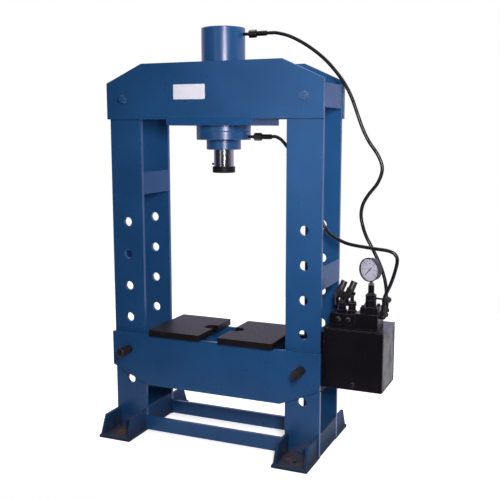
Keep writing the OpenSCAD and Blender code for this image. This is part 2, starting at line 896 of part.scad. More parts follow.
// The valve: square flange, round column and a core that carries the lever's collar
module valve_body() {
    w = valve_flange_w / 2;
    color("black") translate([valve_x, valve_y, 0]) {
        difference() {
            span([-w, -w, block_top], [w, w, block_top + valve_flange_h]);
            for (x = [-valve_screw_r, valve_screw_r]) for (y = [-valve_screw_r, valve_screw_r])
                bar_z([x, y, block_top - over], 8 + 2 * fit, valve_flange_h + 2 * over);
        }
        bar_z([0, 0, block_top], valve_d, valve_flange_h + valve_h);
        bar_z([0, 0, valve_top], core_d, collar_h);
    }
}

module valve_screws() {
    z = block_top + valve_flange_h;
    color("black") for (x = [-valve_screw_r, valve_screw_r]) for (y = [-valve_screw_r, valve_screw_r])
        translate([valve_x + x, valve_y + y, 0]) difference() {
            union() {
                bar_z([0, 0, z], valve_screw_d, valve_screw_h);
                bar_z([0, 0, block_top], 8, valve_flange_h);
            }
            translate([0, 0, z + valve_screw_h / 2]) hexagon(6, valve_screw_h);
        }
}

// Places a shape that is built along +X into the turned valve lever
module at_lever() {
    translate([valve_x, valve_y, lever_z]) rotate([0, 0, -valve_lever_turn]) rotate([0, -lever_lift, 0]) children();
}

// The valve's lever: a collar round the core and a rod to the knob
module valve_lever() {
    color("black") difference() {
        union() {
            bar_z([valve_x, valve_y, valve_top + gap], valve_d, collar_h - 2 * gap);
            at_lever() bar_x([core_d / 2 + 2, 0, 0], lever_rod_d, valve_lever_l - core_d / 2 - 2);
        }
        bar_z([valve_x, valve_y, valve_top - over], core_d + 2 * fit, collar_h + 2 * over);
    }
}

// The ball knob with a blind bore for the rod's end
module lever_knob() {
    r = knob_d / 2;
    bore = lever_rod_d / 2 + fit;
    color("black") at_lever() translate([valve_lever_l, 0, 0]) rotate([0, 90, 0]) rotate_extrude() difference() {
        intersection() {
            circle(r);
            translate([0, -r]) square([r, 2 * r]);
        }
        translate([-over, -knob_d]) square([bore + over, knob_d]);
    }
}

module gauge_adapter() {
    color("dimgray") translate([valve_x, valve_y, 0]) {
        bar_z([0, 0, adapter_z], adapter_flange_d, adapter_flange_h);
        bar_z([0, 0, adapter_z], adapter_d, adapter_h);
    }
}

// Places a shape that is built along +Z from the dial's plane into the turned gauge
module at_gauge() {
    translate([valve_x, valve_y, gauge_z]) rotate([0, 0, -gauge_turn]) rotate([90, 0, 0]) children();
}

// The gauge's case with its rim, and the brass stem below
module gauge_case() {
    r = gauge_d / 2;
    back = gauge_front - gauge_depth;
    color("gray") {
        at_gauge() rotate_extrude() polygon([
            [0, back], [r - 5, back], [r - 3, back + 2], [r - 3, gauge_front - gauge_rim_h],
            [r, gauge_front - gauge_rim_h + 1], [r, gauge_front - 1], [r - 1, gauge_front],
            [r - gauge_rim, gauge_front], [r - gauge_rim, gauge_front - dial_drop], [0, gauge_front - dial_drop]
        ]);
        translate([valve_x, valve_y, gauge_stem_z]) {
            hexagon(stem_hex, stem_hex_h);
            cylinder(d = stem_d, h = stem_hex_h + stem_h + 6);
        }
    }
}

module gauge_dial() {
    color("white") at_gauge() translate([0, 0, gauge_front - dial_drop]) {
        cylinder(r = gauge_d / 2 - gauge_rim - fit, h = dial_t);
        cylinder(d = spindle_d, h = dial_t + gap + hub_h);
    }
}

// The pointer with its hub, at the zero mark
module gauge_pointer() {
    z = gauge_front - dial_drop + dial_t + gap;
    color("black") at_gauge() translate([0, 0, z]) rotate([0, 0, pointer_zero]) difference() {
        union() {
            cylinder(d = hub_d, h = hub_h);
            linear_extrude(pointer_t)
                polygon([[-pointer_tail, -2], [pointer_l, -0.6], [pointer_l, 0.6], [-pointer_tail, 2]]);
        }
        translate([0, 0, -over]) cylinder(d = spindle_d + 2 * fit, h = hub_h + 2 * over);
    }
}

module gauge_glass() {
    color("white", 0.3) at_gauge() translate([0, 0, gauge_front - 1 - glass_t])
        cylinder(r = gauge_d / 2 - gauge_rim - fit, h = glass_t);
}

// A straight adapter along +X: nipple, hexagon, nut and ferrule of a hose end
module hose_end(nut, ferrule) {
    rotate([0, 90, 0]) {
        hexagon(nut_hex, nut);
        translate([0, 0, nut]) cylinder(d = ferrule_d, h = ferrule);
        translate([0, 0, nut]) cylinder(d = ferrule_d + 3, h = edge);
    }
}

module port_adapters() {
    color("gray") for (port = [[barrel_d / 2, upper_port_z], [flange_d / 2, lower_port_z]]) {
        bar_x([port[0] - 12, 0, port[1]], port_d - 2 * fit, 12);
        bar_x([port[0], 0, port[1]], nipple_d, nipple_l);
        translate([port[0] + nipple_l, 0, port[1]]) hose_end(nut_l, ferrule_l);
    }
}

// Elbows from the block's side, turned up to the hose ends
module valve_elbows() {
    start = block_x + block_w;
    color("gray") for (y = elbow_y) {
        bar_x([start - 18, y, elbow_z], nipple_d, elbow_x - start + 18);
        translate([start, y, elbow_z]) rotate([0, 90, 0]) hexagon(19, 12);
        translate([elbow_x, y, elbow_z]) sphere(d = elbow_d);
        bar_z([elbow_x, y, elbow_z], nipple_d, elbow_up);
        translate([elbow_x, y, elbow_z + elbow_up]) hexagon(adapter_hex - 3, lower_nut_l);
        bar_z([elbow_x, y, elbow_z + elbow_up + lower_nut_l], ferrule_d - 2, lower_ferrule_l);
    }
}

// Vector helpers for the hose sweep
function unit(v) = v / norm(v);
function along(p, i) = unit(p[min(i + 1, len(p) - 1)] - p[max(i - 1, 0)]);
function side_of(t) = unit(cross(t, [0, 1, 0]));
function ring(c, t, r) =
    let (u = side_of(t), v = cross(t, u))
    [for (k = [0 : hose_sides - 1]) c + r * (cos(360 * k / hose_sides) * u + sin(360 * k / hose_sides) * v)];

// A hose swept along its route's points
module hose(route) {
    n = len(route);
    points = [for (i = [0 : n - 1]) for (p = ring(route[i], along(route, i), hose_d / 2)) p];
    walls = [
        for (i = [0 : n - 2]) for (k = [0 : hose_sides - 1])
            let (a = i * hose_sides, b = a + hose_sides, m = (k + 1) % hose_sides)
            [a + k, a + m, b + m, b + k]
    ];
    start = [for (k = [hose_sides - 1 : -1 : 0]) k];
    end = [for (k = [0 : hose_sides - 1]) (n - 1) * hose_sides + k];
    color("black") polyhedron(points, concat([start, end], walls));
}

module upper_hose() {
    hose(upper_route);
}

module lower_hose() {
    hose(lower_route);
}

upright(-1, -1);  // front_left_upright
upright(1, -1);  // front_right_upright
upright(-1, 1);  // rear_left_upright
upright(1, 1);  // rear_right_upright
foot(-1, -1);  // front_left_foot
foot(1, -1);  // front_right_foot
foot(-1, 1);  // rear_left_foot
foot(1, 1);  // rear_right_foot
column_spacers();
column_side_ties();
front_tie_bar();
rear_tie_bar();
front_crown_plate();
rear_crown_plate();
crown_bolts();
crown_nuts();
front_bed_plate();
rear_bed_plate();
bed_webs();
left_bed_pin();
right_bed_pin();
left_arbor_plate();
right_arbor_plate();
cylinder_seat_plate();
cylinder_barrel();
cylinder_gland();
rod_seals();
ram();
piston();
piston_seals();
ram_nose();
nose_screw();
tank_bracket();
tank_shell();
tank_lid();
drain_plug();
suction_pipes();
pump_base();
low_pump_barrel();
high_pump_barrel();
low_plunger();
high_plunger();
low_lever();
high_lever();
fulcrum_pins();
relief_cap();
valve_block();
valve_body();
valve_screws();
valve_lever();
lever_knob();
gauge_adapter();
gauge_case();
gauge_dial();
gauge_pointer();
gauge_glass();
port_adapters();
valve_elbows();
upper_hose();
lower_hose();
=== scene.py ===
import math

import bmesh
import bpy
from mathutils import Matrix, Vector


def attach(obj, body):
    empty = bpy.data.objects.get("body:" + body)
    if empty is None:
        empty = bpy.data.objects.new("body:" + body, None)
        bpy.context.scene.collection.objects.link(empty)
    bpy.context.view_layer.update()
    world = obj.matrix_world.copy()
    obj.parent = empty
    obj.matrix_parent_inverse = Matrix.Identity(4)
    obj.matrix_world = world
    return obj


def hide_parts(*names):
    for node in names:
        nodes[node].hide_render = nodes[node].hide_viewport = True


MM = 0.001

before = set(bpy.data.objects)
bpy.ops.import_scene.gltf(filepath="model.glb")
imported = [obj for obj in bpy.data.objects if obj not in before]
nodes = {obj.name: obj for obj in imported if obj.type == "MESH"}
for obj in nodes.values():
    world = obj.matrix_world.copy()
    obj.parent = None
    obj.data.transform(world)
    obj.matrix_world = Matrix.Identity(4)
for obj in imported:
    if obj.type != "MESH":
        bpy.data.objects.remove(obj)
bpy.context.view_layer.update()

# Camera at the photograph's angle, its tilt and turn in degrees
CAMERA_PLACE = (1.5117, -3.2105, 1.4036)
CAMERA_TILT = 81.35
CAMERA_TURN = 23.33
CAMERA_LENS = 56.37
CAMERA_SENSOR = 36.0
CAMERA_SHIFT_X = 0.0004
CAMERA_SHIFT_Y = 0.0032
CAMERA_REACH = 60.0


def add_camera():
    data = bpy.data.cameras.new("camera")
    data.sensor_width = CAMERA_SENSOR
    data.lens = CAMERA_LENS
    data.shift_x = CAMERA_SHIFT_X
    data.shift_y = CAMERA_SHIFT_Y
    data.clip_end = CAMERA_REACH
    camera = bpy.data.objects.new("camera", data)
    camera.location = CAMERA_PLACE
    camera.rotation_euler = (math.radians(CAMERA_TILT), 0.0, math.radians(CAMERA_TURN))
    bpy.context.scene.collection.objects.link(camera)
    bpy.context.scene.camera = camera


# A piece that stays with the fixed frame, made from a finished shape
def frame_piece(name, shape):
    mesh = bpy.data.meshes.new(name)
    shape.to_mesh(mesh)
    shape.free()
    piece = bpy.data.objects.new(name, mesh)
    bpy.context.scene.collection.objects.link(piece)
    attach(piece, "frame")
    return piece


# Hose routes in millimetres, from the barrel's hose end to the elbow's
UPPER_ROUTE = [
    (205, 0, 1826), (228, 0, 1826), (255, 0, 1824), (312, 0, 1808), (375, 0, 1776),
    (433, 0, 1737), (482, 0, 1695), (527, 0, 1645), (560, 0, 1600), (589, 0, 1546),
    (613, 0, 1484), (638, 0, 1420), (665, 0, 1368), (707, 0, 1308), (725, 0, 1254),
    (708, 0, 1197), (671, 0, 1148), (647, 0, 1106), (639, 0, 1060), (648, 0, 1011),
    (664, 4, 965), (687, 5, 924), (725, 5, 850), (746, 3, 793), (754, 1, 752),
    (757, 0, 715), (757, 0, 690),
]
LOWER_ROUTE = [
    (230, 0, 1385), (252, 0, 1385), (279, 0, 1370), (307, 0, 1338), (345, 0, 1288),
    (380, 0, 1233), (410, 0, 1170), (438, 0, 1098), (460, 0, 1040), (484, -3, 995),
    (514, -12, 968), (560, -26, 948), (611, -40, 936), (708, -60, 928), (770, -69, 924),
    (802, -70, 912), (814, -69, 885), (803, -66, 830), (785, -60, 778), (765, -51, 735),
    (757, -46, 710), (757, -46, 690),
]
HOSE_D = 15 * MM
HOSE_STEPS = 6
HOSE_SIDES = 20


# Points of a smooth line through a route
def smooth_line(route, steps):
    points = [Vector(p) * MM for p in route]
    line = []
    last = len(points) - 1
    for i in range(last):
        a = points[max(i - 1, 0)]
        b = points[i]
        c = points[i + 1]
        d = points[min(i + 2, last)]
        for step in range(steps):
            t = step / steps
            line.append(0.5 * (2 * b + (c - a) * t + (2 * a - 5 * b + 4 * c - d) * t * t
                               + (3 * b - a - 3 * c + d) * t * t * t))
    line.append(points[last])
    return line


# A round tube along a line, with a radius at each point and rings that turn as little as possible
def tube_piece(name, line, radii, sides):
    shape = bmesh.new()
    rings = []
    across = None
    last = len(line) - 1
    for i, centre in enumerate(line):
        way = (line[min(i + 1, last)] - line[max(i - 1, 0)]).normalized()
        if across is None:
            across = way.orthogonal().normalized()
        across = (across - way * across.dot(way)).normalized()
        other = way.cross(across)
        ring = []
        for k in range(sides):
            angle = 2.0 * math.pi * k / sides
            out = across * math.cos(angle) + other * math.sin(angle)
            ring.append(shape.verts.new(centre + out * radii[i]))
        rings.append(ring)
    for first, second in zip(rings, rings[1:]):
        for k in range(sides):
            m = (k + 1) % sides
            face = shape.faces.new((first[k], first[m], second[m], second[k]))
            face.smooth = True
    shape.faces.new(list(reversed(rings[0])))
    shape.faces.new(rings[-1])
    bmesh.ops.recalc_face_normals(shape, faces=shape.faces)
    return frame_piece(name, shape)


# A hose that stands for its CAD node
def add_hose(name, route, node):
    line = smooth_line(route, HOSE_STEPS)
    hose = tube_piece(name, line, [HOSE_D / 2] * len(line), HOSE_SIDES)
    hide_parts(node)
    return hose


# Sockets of a Mix node that blends colours
MIX_FACTOR = 0
MIX_FIRST = 6
MIX_SECOND = 7
MIX_RESULT = 2


# Small builder of shader nodes
class NodeBuilder:
    def __init__(self, tree):
        self.tree = tree

    def node(self, kind, **settings):
        made = self.tree.nodes.new(kind)
        for key, value in settings.items():
            setattr(made, key, value)
        return made

    def plug(self, target, value):
        if isinstance(value, bpy.types.NodeSocket):
            self.tree.links.new(value, target)
        else:
            target.default_value = value

    def remap(self, value, low, high, to_low=0.0, to_high=1.0):
        made = self.node("ShaderNodeMapRange", clamp=True)
        self.plug(made.inputs["Value"], value)
        made.inputs["From Min"].default_value = low
        made.inputs["From Max"].default_value = high
        made.inputs["To Min"].default_value = to_low
        made.inputs["To Max"].default_value = to_high
        return made.outputs["Result"]

    def math(self, operation, a, b=0.0):
        made = self.node("ShaderNodeMath", operation=operation)
        self.plug(made.inputs[0], a)
        self.plug(made.inputs[1], b)
        return made.outputs["Value"]

    def times(self, a, b):
        return self.math("MULTIPLY", a, b)

    def plus(self, a, b):
        return self.math("ADD", a, b)

    def mix(self, factor, a, b):
        made = self.node("ShaderNodeMix", data_type="RGBA")
        self.plug(made.inputs[MIX_FACTOR], factor)
        self.plug(made.inputs[MIX_FIRST], a)
        self.plug(made.inputs[MIX_SECOND], b)
        return made.outputs[MIX_RESULT]

    def axes(self, vector):
        made = self.node("ShaderNodeSeparateXYZ")
        self.plug(made.inputs["Vector"], vector)
        return made.outputs


# Where the values of a noise mostly lie
NOISE_LOW = 0.3
NOISE_HIGH = 0.7
NOISE_DETAIL = 4.0
NOISE_ROUGH = 0.55
# Share of a normal along an axis, from not facing it to facing it
FACING_LOW = 0.5
FACING_HIGH = 0.9
# Agreement of a normal with its bevelled one, on a flat face and at an edge
EDGE_FLAT = 0.995
EDGE_SHARP = 0.85
BEVEL_SAMPLES = 4


# Builder of a material round its main shader
class Shader(NodeBuilder):
    def __init__(self, name):
        self.material = bpy.data.materials.new(name)
        self.material.use_nodes = True
        super().__init__(self.material.node_tree)
        self.bsdf = next(n for n in self.tree.nodes if n.type == "BSDF_PRINCIPLED")
        self.place = self.node("ShaderNodeTexCoord").outputs["Object"]

    def set(self, **inputs):
        for key, value in inputs.items():
            self.plug(self.bsdf.inputs[key.replace("_", " ")], value)

    def noise(self, scale, detail=NOISE_DETAIL, rough=NOISE_ROUGH, stretch=(1.0, 1.0, 1.0)):
        mapping = self.node("ShaderNodeMapping")
        mapping.inputs["Scale"].default_value = stretch
        self.plug(mapping.inputs["Vector"], self.place)
        made = self.node("ShaderNodeTexNoise")
        made.inputs["Scale"].default_value = scale
        made.inputs["Detail"].default_value = detail
        made.inputs["Roughness"].default_value = rough
        self.plug(made.inputs["Vector"], mapping.outputs["Vector"])
        return made.outputs["Fac"]

    # Patches of 1 on 0 with soft borders
    def patches(self, scale, low, high, detail=NOISE_DETAIL, rough=NOISE_ROUGH):
        return self.remap(self.noise(scale, detail, rough), low, high)

    # A value that wanders between two limits with a noise
    def vary(self, noise, low, high):
        return self.remap(noise, NOISE_LOW, NOISE_HIGH, low, high)

    # 1 where the surface faces along an axis and 0 where it faces elsewhere
    def facing(self, axis):
        normal = self.node("ShaderNodeNewGeometry").outputs["Normal"]
        return self.remap(self.axes(normal)[axis], FACING_LOW, FACING_HIGH)

    def bevelled_normal(self, radius):
        bevel = self.node("ShaderNodeBevel", samples=BEVEL_SAMPLES)
        bevel.inputs["Radius"].default_value = radius
        return bevel.outputs["Normal"]

    # 1 near an edge of the shape and 0 on its flat faces
    def edges(self, radius):
        agreement = self.node("ShaderNodeVectorMath", operation="DOT_PRODUCT")
        self.plug(agreement.inputs[0], self.bevelled_normal(radius))
        self.plug(agreement.inputs[1], self.node("ShaderNodeNewGeometry").outputs["Normal"])
        return self.remap(agreement.outputs["Value"], EDGE_FLAT, EDGE_SHARP)

    # Fine relief of the surface, and rounded edges where asked
    def surface(self, height, strength, distance, edge=0.0):
        bump = self.node("ShaderNodeBump")
        bump.inputs["Strength"].default_value = strength
        bump.inputs["Distance"].default_value = distance
        self.plug(bump.inputs["Height"], height)
        if edge > 0.0:
            self.plug(bump.inputs["Normal"], self.bevelled_normal(edge))
        self.set(Normal=bump.outputs["Normal"])


def rgb(red, green, blue):
    return (red, green, blue, 1.0)


def scaled(colour, factor):
    red, green, blue = (min(1.0, factor * value) for value in colour[:3])
    return rgb(red, green, blue)


WHITE = rgb(1.0, 1.0, 1.0)

# Paints: the coat, its darker or faded patches, and what shows at chips
BLUE = rgb(0.0130, 0.0725, 0.193)
BLUE_DARK = rgb(0.0095, 0.0555, 0.151)
BLUE_CHIP = rgb(0.10, 0.16, 0.25)
# Pale edge colour of the bolts: a painted highlight along their edges, mixed with chips
BOLT_HIGHLIGHT_CHIP = rgb(0.34, 0.38, 0.45)
FOOT_BLUE = rgb(0.0130, 0.0680, 0.180)
FOOT_DARK = rgb(0.0095, 0.0530, 0.141)
FOOT_CHIP = rgb(0.11, 0.13, 0.18)
BLACK = rgb(0.0028, 0.0025, 0.0034)
BLACK_FADED = rgb(0.005, 0.0044, 0.006)
BLACK_CHIP = rgb(0.20, 0.19, 0.22)
DULL_CHIP = rgb(0.02, 0.02, 0.025)
PAINT_SHEEN = rgb(0.95, 0.88, 1.0)
CHIP_WIDTH = 2.6 * MM
CHIP_SHARE = 0.75
SPECK_SHARE = 0.07

# Scuffs on the sides that face right
SCUFF_ROUGH = 0.24

# Darker, mottled colour towards the floor, the heights in metres where it starts and is full, and dust on
# what faces up
LOW_TONE_TOP = 0.19
LOW_TONE_FULL = 0.07
LOW_TONE_WAVE = 0.08
LOW_TONE_SHARE = 0.68
LOW_ROUGH_GAIN = 0.30
LOW_TONE_DARK = rgb(0.011, 0.014, 0.021)
LOW_TONE_PALE = rgb(0.032, 0.033, 0.046)
DUST = rgb(0.062, 0.064, 0.085)
DUST_THIN = 0.3
DUST_THICK = 0.9

# Where rust gathers on the front feet, mirrored about X = 0, and how far it spreads
RUST_CENTRE = (0.430, -0.190, 0.012)
RUST_REACH = (0.065, 0.075, 0.060)
RUST_FADE = 1.9
RUST_FULL = 0.3
RUST_ROUGH = 0.40
RUST_DARK = rgb(0.075, 0.036, 0.018)
RUST_PALE = rgb(0.26, 0.13, 0.06)


def scuff(look, roughness):
    scuffs = look.times(look.facing("X"), look.patches(17.0, 0.5, 0.68, detail=7.0, rough=0.7))
    return look.plus(roughness, look.times(scuffs, SCUFF_ROUGH))


# Colour darker and roughness higher towards the floor, and dust on what faces up
def darken_low_and_dust(look, tint, roughness):
    wave = look.times(look.noise(14.0, detail=6.0, rough=0.65), LOW_TONE_WAVE)
    low = look.remap(look.plus(look.axes(look.place)["Z"], wave), LOW_TONE_TOP, LOW_TONE_FULL)
    low_tone = look.mix(look.noise(30.0, detail=5.0), LOW_TONE_DARK, LOW_TONE_PALE)
    tint = look.mix(look.times(low, LOW_TONE_SHARE), tint, low_tone)
    cover = look.remap(look.noise(45.0, detail=5.0, rough=0.65), 0.3, 0.6, DUST_THIN, DUST_THICK)
    tint = look.mix(look.times(look.facing("Z"), cover), tint, DUST)
    return tint, look.plus(roughness, look.times(low, LOW_ROUGH_GAIN))


def rust_mask(look):
    place = look.axes(look.place)
    parts = []
    for axis, centre, reach in zip("XYZ", RUST_CENTRE, RUST_REACH):
        along = look.math("ABSOLUTE", place[axis]) if axis == "X" else place[axis]
        share = look.math("DIVIDE", look.math("SUBTRACT", along, centre), reach)
        parts.append(look.times(share, share))
    spread = look.plus(look.plus(parts[0], parts[1]), parts[2])
    breaks = look.patches(24.0, 0.46, 0.68, detail=8.0, rough=0.72)
    return look.times(look.remap(spread, RUST_FADE, RUST_FULL), breaks)


def rust(look, tint, roughness):
    mask = rust_mask(look)
    stain = look.mix(look.noise(60.0, detail=5.0), RUST_DARK, RUST_PALE)
    return look.mix(mask, tint, stain), look.plus(roughness, look.times(mask, RUST_ROUGH))


# Enamel paint with soft patches, specks and chipped edges, and where asked with scuffs, darker colour
# towards the floor with dust, or rust
def painted(name, colour, patch, chip_and_highlight, shine, scuffed=False, darker_low_and_dusty=False, rusty=False):
    look = Shader(name)
    tint = look.mix(look.patches(3.5, 0.35, 0.7, detail=5.0), colour, patch)
    specks = look.patches(55.0, 0.62, 0.72, detail=6.0, rough=0.7)
    tint = look.mix(look.times(specks, SPECK_SHARE), tint, chip_and_highlight)
    # Chipped edges; on the bolts their pale colour is also a painted highlight
    chips = look.times(look.edges(CHIP_WIDTH), look.patches(38.0, 0.36, 0.56, detail=5.0, rough=0.65))
    tint = look.mix(look.times(chips, CHIP_SHARE), tint, chip_and_highlight)
    roughness = look.vary(look.noise(18.0), 0.27, 0.33)
    if scuffed:
        roughness = scuff(look, roughness)
    if darker_low_and_dusty:
        tint, roughness = darken_low_and_dust(look, tint, roughness)
    if rusty:
        tint, roughness = rust(look, tint, roughness)
    look.set(Base_Color=tint, Roughness=roughness, Specular_IOR_Level=shine, Specular_Tint=PAINT_SHEEN)
    look.surface(look.noise(140.0, detail=3.0), strength=0.12, distance=0.6 * MM, edge=1.4 * MM)
    return look.material


# Directions of the fine lines on steel
LINES_ALONG_Y = (1.0, 0.08, 1.0)
RINGS_ROUND_X = (1.0, 0.1, 0.1)
RINGS_ROUND_Y = (0.1, 1.0, 0.1)
RINGS_ROUND_Z = (0.1, 0.1, 1.0)
STEEL_SHINE = 0.13
STEEL_EDGE = 1.1 * MM
STEEL_EDGE_SHARE = 0.6
STEEL_EDGE_GAIN = 1.5


# Steel with fine lines, stains, brighter edges and a roughness between two limits
def steel(name, colour, stain, smooth, rough, stretch, metallic=1.0):
    look = Shader(name)
    lines = look.noise(420.0, detail=3.0, rough=0.6, stretch=stretch)
    tint = look.mix(look.patches(11.0, 0.38, 0.68, detail=6.0, rough=0.6), colour, stain)
    edges = look.times(look.edges(STEEL_EDGE), STEEL_EDGE_SHARE)
    tint = look.mix(edges, tint, scaled(colour, STEEL_EDGE_GAIN))
    look.set(Base_Color=tint, Metallic=metallic, Roughness=look.vary(lines, smooth, rough))
    look.set(Specular_IOR_Level=STEEL_SHINE)
    look.surface(lines, strength=0.15, distance=0.3 * MM, edge=0.9 * MM)
    return look.material


# Oiled cast iron with a grainy skin
def cast_iron(name):
    look = Shader(name)
    grain = look.noise(330.0, detail=6.0, rough=0.7)
    oil = look.patches(24.0, 0.35, 0.65, detail=5.0)
    tint = look.mix(oil, rgb(0.022, 0.019, 0.022), rgb(0.050, 0.043, 0.047))
    look.set(Base_Color=tint, Metallic=0.55, Roughness=look.vary(grain, 0.34, 0.55))
    look.surface(grain, strength=0.35, distance=0.7 * MM, edge=0.8 * MM)
    return look.material


# Rubber with a fine grain and a little dust
def rubber(name):
    look = Shader(name)
    grain = look.noise(260.0, rough=0.65)
    dust = look.times(look.patches(28.0, 0.5, 0.75, detail=5.0), 0.5)
    tint = look.mix(dust, rgb(0.005, 0.005, 0.006), rgb(0.022, 0.021, 0.024))
    look.set(Base_Color=tint, Roughness=look.vary(grain, 0.22, 0.34), Specular_IOR_Level=0.28)
    look.surface(grain, strength=0.2, distance=0.5 * MM)
    return look.material


PLASTIC_SHADE = 0.8
PLASTIC_SPAN = 0.1


# Moulded plastic with a faint skin
def plastic(name, colour, roughness):
    look = Shader(name)
    skin = look.noise(500.0, detail=2.0)
    tint = look.mix(look.noise(40.0), colour, scaled(colour, PLASTIC_SHADE))
    look.set(Base_Color=tint, Roughness=look.vary(skin, roughness, roughness + PLASTIC_SPAN))
    look.surface(skin, strength=0.1, distance=0.3 * MM, edge=0.6 * MM)
    return look.material


# Pale dial face with faint clouds
def dial(name):
    look = Shader(name)
    tint = look.mix(look.patches(60.0, 0.3, 0.7, detail=3.0), rgb(0.69, 0.67, 0.81), rgb(0.75, 0.73, 0.86))
    look.set(Base_Color=tint, Roughness=0.5)
    look.surface(look.noise(400.0, detail=2.0), strength=0.05, distance=0.2 * MM)
    return look.material


# Thin clear glass that lets light through to the dial
def glass(name):
    look = Shader(name)
    look.set(Base_Color=rgb(0.05, 0.05, 0.06), Roughness=look.vary(look.noise(30.0), 0.02, 0.06), Alpha=0.1)
    return look.material


GAUGE_STEM_TOP = 786 * MM
STEM_BLEND = 0.5 * MM


# The gauge's case is black, and its stem below is brass
def gauge_metal(name):
    look = Shader(name)
    height = look.axes(look.place)["Z"]
    stem = look.remap(height, GAUGE_STEM_TOP + STEM_BLEND, GAUGE_STEM_TOP - STEM_BLEND)
    skin = look.noise(300.0)
    paint = look.mix(look.patches(30.0, 0.35, 0.65), rgb(0.020, 0.019, 0.026), rgb(0.040, 0.038, 0.050))
    brass = look.mix(look.patches(70.0, 0.35, 0.65), rgb(0.42, 0.33, 0.22), rgb(0.28, 0.21, 0.13))
    look.set(Base_Color=look.mix(stem, paint, brass), Metallic=stem)
    look.set(Roughness=look.vary(skin, 0.26, 0.40), Specular_IOR_Level=0.3)
    look.surface(skin, strength=0.1, distance=0.3 * MM, edge=0.8 * MM)
    return look.material


# The CAD nodes that wear each look
WORN_BY = {
    "blue": [
        "rear_left_upright", "rear_right_upright", "front_tie_bar", "rear_tie_bar", "front_crown_plate",
        "rear_crown_plate", "front_bed_plate", "rear_bed_plate", "bed_webs",
    ],
    "stained_blue": ["front_left_upright", "front_right_upright"],
    "glossy_blue": ["cylinder_barrel", "cylinder_gland"],
    "bolt_blue": ["crown_bolts", "crown_nuts"],
    "matt_blue": ["column_spacers", "cylinder_seat_plate"],
    "rusty_blue": [
        "front_left_foot", "front_right_foot", "rear_left_foot", "rear_right_foot", "column_side_ties",
    ],
    "black": [
        "tank_shell", "tank_lid", "pump_base", "low_pump_barrel", "high_pump_barrel", "relief_cap",
        "drain_plug", "valve_block", "valve_body", "valve_screws", "valve_lever", "gauge_adapter",
    ],
    "dull_black": ["tank_bracket"],
    "blackened": ["left_arbor_plate", "right_arbor_plate", "ram_nose", "nose_screw"],
    "oiled": ["left_bed_pin", "right_bed_pin"],
    "turned": ["piston", "suction_pipes"],
    "chrome": ["ram"],
    "plated": ["low_plunger", "high_plunger", "fulcrum_pins", "port_adapters", "valve_elbows"],
    "iron": ["low_lever", "high_lever"],
    "rubber": ["rod_seals", "piston_seals"],
    "plastic": ["lever_knob", "gauge_pointer"],
    "dial": ["gauge_dial"],
    "glass": ["gauge_glass"],
    "gauge": ["gauge_case"],
}


def make_paints():
    return {
        "blue": painted("blue_paint", BLUE, BLUE_DARK, BLUE_CHIP, shine=0.29),
        "stained_blue": painted("blue_paint_stained", BLUE, BLUE_DARK, BLUE_CHIP, shine=0.29, rusty=True),
        "glossy_blue": painted("blue_paint_glossy", BLUE, BLUE_DARK, BLUE_CHIP, shine=0.46),
        # The bolts' pale chip colour paints a highlight along their edges
        "bolt_blue": painted("blue_paint_bolts", BLUE, BLUE_DARK, BOLT_HIGHLIGHT_CHIP, shine=0.46),
        "matt_blue": painted("blue_paint_matt", BLUE, BLUE_DARK, BLUE_CHIP, shine=0.10),
        "rusty_blue": painted("blue_paint_rusty", FOOT_BLUE, FOOT_DARK, FOOT_CHIP, shine=0.04,
                              darker_low_and_dusty=True, rusty=True),
        "black": painted("black_paint", BLACK, BLACK_FADED, BLACK_CHIP, shine=0.22, scuffed=True),
        "dull_black": painted("black_paint_dull", BLACK, BLACK_FADED, DULL_CHIP, shine=0.01),
    }


def make_steels():
    return {
        "blackened": steel("blackened_steel", rgb(0.010, 0.008, 0.0095), rgb(0.005, 0.004, 0.005),
                           smooth=0.40, rough=0.58, stretch=LINES_ALONG_Y, metallic=0.05),
        "oiled": steel("oiled_steel", rgb(0.050, 0.038, 0.035), rgb(0.016, 0.013, 0.014),
                       smooth=0.32, rough=0.50, stretch=RINGS_ROUND_Y, metallic=0.3),
        "turned": steel("turned_steel", rgb(0.42, 0.41, 0.41), rgb(0.25, 0.24, 0.24),
                        smooth=0.2, rough=0.34, stretch=RINGS_ROUND_Z),
        "chrome": steel("chromed_steel", rgb(0.29, 0.29, 0.315), rgb(0.21, 0.21, 0.235),
                        smooth=0.12, rough=0.20, stretch=RINGS_ROUND_Z),
        "plated": steel("plated_steel", rgb(0.055, 0.050, 0.048), rgb(0.025, 0.022, 0.021),
                        smooth=0.28, rough=0.42, stretch=RINGS_ROUND_X),
    }


def make_others():
    return {
        "iron": cast_iron("oiled_iron"),
        "rubber": rubber("black_rubber"),
        "plastic": plastic("black_plastic", rgb(0.010, 0.010, 0.012), roughness=0.16),
        "dial": dial("dial_face"),
        "glass": glass("gauge_glass"),
        "gauge": gauge_metal("gauge_metal"),
    }


def wear(piece, material):
    piece.data.materials.clear()
    piece.data.materials.append(material)


def dress(hoses, welds, tank_welds):
    looks = {**make_paints(), **make_steels(), **make_others()}
    for look, names in WORN_BY.items():
        for name in names:
            wear(nodes[name], looks[look])
    for pieces, look in ((hoses, "rubber"), (welds, "rusty_blue"), (tank_welds, "black")):
        for piece in pieces:
            wear(piece, looks[look])


RIM_STEPS = 2


# A flat piece from outlines in its own plane, with a thickness and softened rims
def flat_piece(name, outlines, thickness, rim, place):
    shape = bmesh.new()
    for outline in outlines:
        low = [shape.verts.new((x, y, 0.0)) for x, y in outline]
        high = [shape.verts.new((x, y, thickness)) for x, y in outline]
        shape.faces.new(list(reversed(low)))
        shape.faces.new(high)
        for k in range(len(outline)):
            shape.faces.new((low[k - 1], low[k], high[k], high[k - 1]))
    bmesh.ops.recalc_face_normals(shape, faces=shape.faces)
    if rim > 0.0:
        edges = [e for e in shape.edges if all(v.co.z > thickness * 0.5 for v in e.verts)]
        bmesh.ops.bevel(shape, geom=edges, offset=rim, segments=RIM_STEPS, affect="EDGES")
    bmesh.ops.transform(shape, matrix=place, verts=shape.verts)
    return frame_piece(name, shape)


